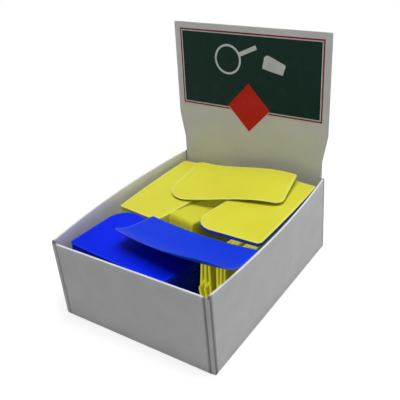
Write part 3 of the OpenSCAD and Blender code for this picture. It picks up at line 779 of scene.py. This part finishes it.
tray_board = coated_board("white_coated_board", "#DCDCDC", "#D2D2D1", "#77757A", 24)
card_board = coated_board("cream_header_card", "#DEDED9", "#D5D5CC", "#C0B79F", 30)
floor_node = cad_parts["floor_panel"]
floor_node.data.materials.clear()
floor_node.data.materials.append(tray_board)
for piece in walls:
    piece.data.materials.append(tray_board)
for piece in flaps:
    piece.data.materials.append(tray_board)
header_card.data.materials.append(card_board)

# %% [markdown]
# ### Printing ink
#
# The header is printed in solid areas of offset ink on the card. A solid area is never quite even: the
# card's fibres show through as a fine mottle, and where the card has been rubbed the ink is thinner.


# %% Ink
def printed_ink(name, colour_code, thin_code, rub):
    """Offset ink: mottle 0.9 mm wide, rubbed patches 14 mm wide, a soft sheen."""
    material, tree = new_material(name)
    mottle = spread(tree, noise(tree, 0.9, 4.0, 0.6), 0.5, 0.8, 0.0, 0.35)
    patches = spread(tree, noise(tree, 14, 5.0, 0.6), 0.5, 0.75, 0.0, rub)
    colour = blend_colours(tree, mottle, linear(colour_code), linear(thin_code))
    colour = blend_colours(tree, patches, colour, linear(thin_code))
    bump = add(tree, "Bump", Strength=0.2, Distance=0.00004, Height=noise(tree, 1.2, 4.0))
    rough = spread(tree, patches, 0, 1, 0.42, 0.6)
    shader = add(tree, "BsdfPrincipled", Base_Color=colour, Roughness=rough, Normal=bump.outputs[0], IOR=1.5)
    shader.inputs["Specular IOR Level"].default_value = 0.1
    finish_material(tree, shader)
    return material


for node, material in {
    "header_panel": printed_ink("green_offset_ink", "#123026", "#1F3C33", 0.5),
    "header_frame_line": printed_ink("dark_red_offset_ink", "#8A2222", "#A04A44", 0.5),
    "header_lozenge": printed_ink("red_offset_ink", "#CE2818", "#D8503E", 0.4),
    "header_pictogram": printed_ink("cream_ink", "#D6DED6", "#B9C2B9", 0.5),
}.items():
    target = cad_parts[node]
    target.data.materials.clear()
    target.data.materials.append(material)
print("materials:", len(bpy.data.materials))

# %% [markdown]
# ## Floor, light and camera
#
# The floor is a pale sweep that keeps the tray's shadow and fades to plain white away from it. The
# background is white to the camera and in reflections only, so it adds no light to the object. One large
# soft lamp hangs above, and a weaker one at the rear right makes the right wall lighter towards the
# rear. The camera stands where the photograph was taken from.

# %% Stage
def seen_directly(tree):
    """1 for rays from the camera, in a reflection or through something clear, 0 for rays of light."""
    path = add(tree, "LightPath").outputs
    seen = add(tree, "Math", {"operation": "MAXIMUM"}, i0=path["Is Camera Ray"], i1=path["Is Glossy Ray"])
    return add(tree, "Math", {"operation": "MAXIMUM"}, i0=seen.outputs[0], i1=path["Is Transmission Ray"])


floor_mesh = bpy.data.meshes.new("floor")
floor_mesh.from_pydata([(-4, -4, 0), (4, -4, 0), (4, 4, 0), (-4, 4, 0)], [], [(0, 1, 2, 3)])
floor = bpy.data.objects.new("floor", floor_mesh)
bpy.context.scene.collection.objects.link(floor)
floor_paint, tree = new_material("white_studio_floor")
seen = seen_directly(tree)
matte = add(tree, "BsdfDiffuse", Color=linear("#C4C4C4"))
glow = add(tree, "Emission", Color=(1, 1, 1, 1), Strength=0.6)
lit = add(tree, "AddShader", i0=matte.outputs[0], i1=glow.outputs[0])
place = add(tree, "TexCoord").outputs["Object"]
away = add(tree, "VectorMath", {"operation": "LENGTH"}, i0=place).outputs["Value"]
fade = spread(tree, away, 0.2, 0.5, 0, 1)
plain = add(tree, "Emission", Color=(1, 1, 1, 1), Strength=1.0)
lit = add(tree, "MixShader", Fac=fade, i1=lit.outputs[0], i2=plain.outputs[0])
add(tree, "OutputMaterial", Surface=add(
    tree, "MixShader", Fac=seen.outputs[0], i1=matte.outputs[0], i2=lit.outputs[0]).outputs[0])
floor_mesh.materials.append(floor_paint)

world = bpy.data.worlds.new("studio")
bpy.context.scene.world = world
world.use_nodes = True
tree = world.node_tree
tree.nodes.clear()
seen = seen_directly(tree)
ambient = add(tree, "Background", Color=(0.97, 0.98, 1.0, 1), Strength=0.12)
white = add(tree, "Background", Color=(1, 1, 1, 1), Strength=1.0)
add(tree, "OutputWorld", Surface=add(
    tree, "MixShader", Fac=seen.outputs[0], i1=ambient.outputs[0], i2=white.outputs[0]).outputs[0])


def soft_lamp(name, place, target, size, power):
    """A square area lamp at a place, facing a target."""
    data = bpy.data.lights.new(name, "AREA")
    data.shape = "SQUARE"
    data.size = size
    data.energy = power
    lamp = bpy.data.objects.new(name, data)
    lamp.location = place
    lamp.rotation_euler = (Vector(target) - Vector(place)).to_track_quat("-Z", "Y").to_euler()
    bpy.context.scene.collection.objects.link(lamp)
    return lamp


soft_lamp("overhead_softbox", (0.15, 0.0, 1.5), (0, 0, 0.05), 1.0, 21)
soft_lamp("right_fill", (1.0, 0.9, 0.6), (0, 0.1, 0.08), 0.9, 2.5)

# %% Camera
CAMERA_AT = (0.3305, -0.4407, 0.4079)
CAMERA_AZIMUTH, CAMERA_DOWN = 36.28, 29.28
CAMERA_ROLL = Vector((0.8291, 0.5535, -0.0790))
FOCAL_PX, IMAGE_PX, SENSOR_MM = 603.5, 400, 36.0
azimuth, down = math.radians(CAMERA_AZIMUTH), math.radians(CAMERA_DOWN)
forward = Vector((-math.sin(azimuth) * math.cos(down), math.cos(azimuth) * math.cos(down), -math.sin(down)))
right = (CAMERA_ROLL - CAMERA_ROLL.dot(forward) * forward).normalized()
camera_data = bpy.data.cameras.new("camera")
camera_data.sensor_width = SENSOR_MM
camera_data.lens = FOCAL_PX / IMAGE_PX * SENSOR_MM
camera = bpy.data.objects.new("camera", camera_data)
axes = Matrix((right, right.cross(forward), -forward)).transposed()
camera.matrix_world = Matrix.Translation(CAMERA_AT) @ axes.to_4x4()
bpy.context.scene.collection.objects.link(camera)
bpy.context.scene.camera = camera
bpy.context.scene.view_settings.view_transform = "Standard"
print("lens", round(camera_data.lens, 2), "mm")
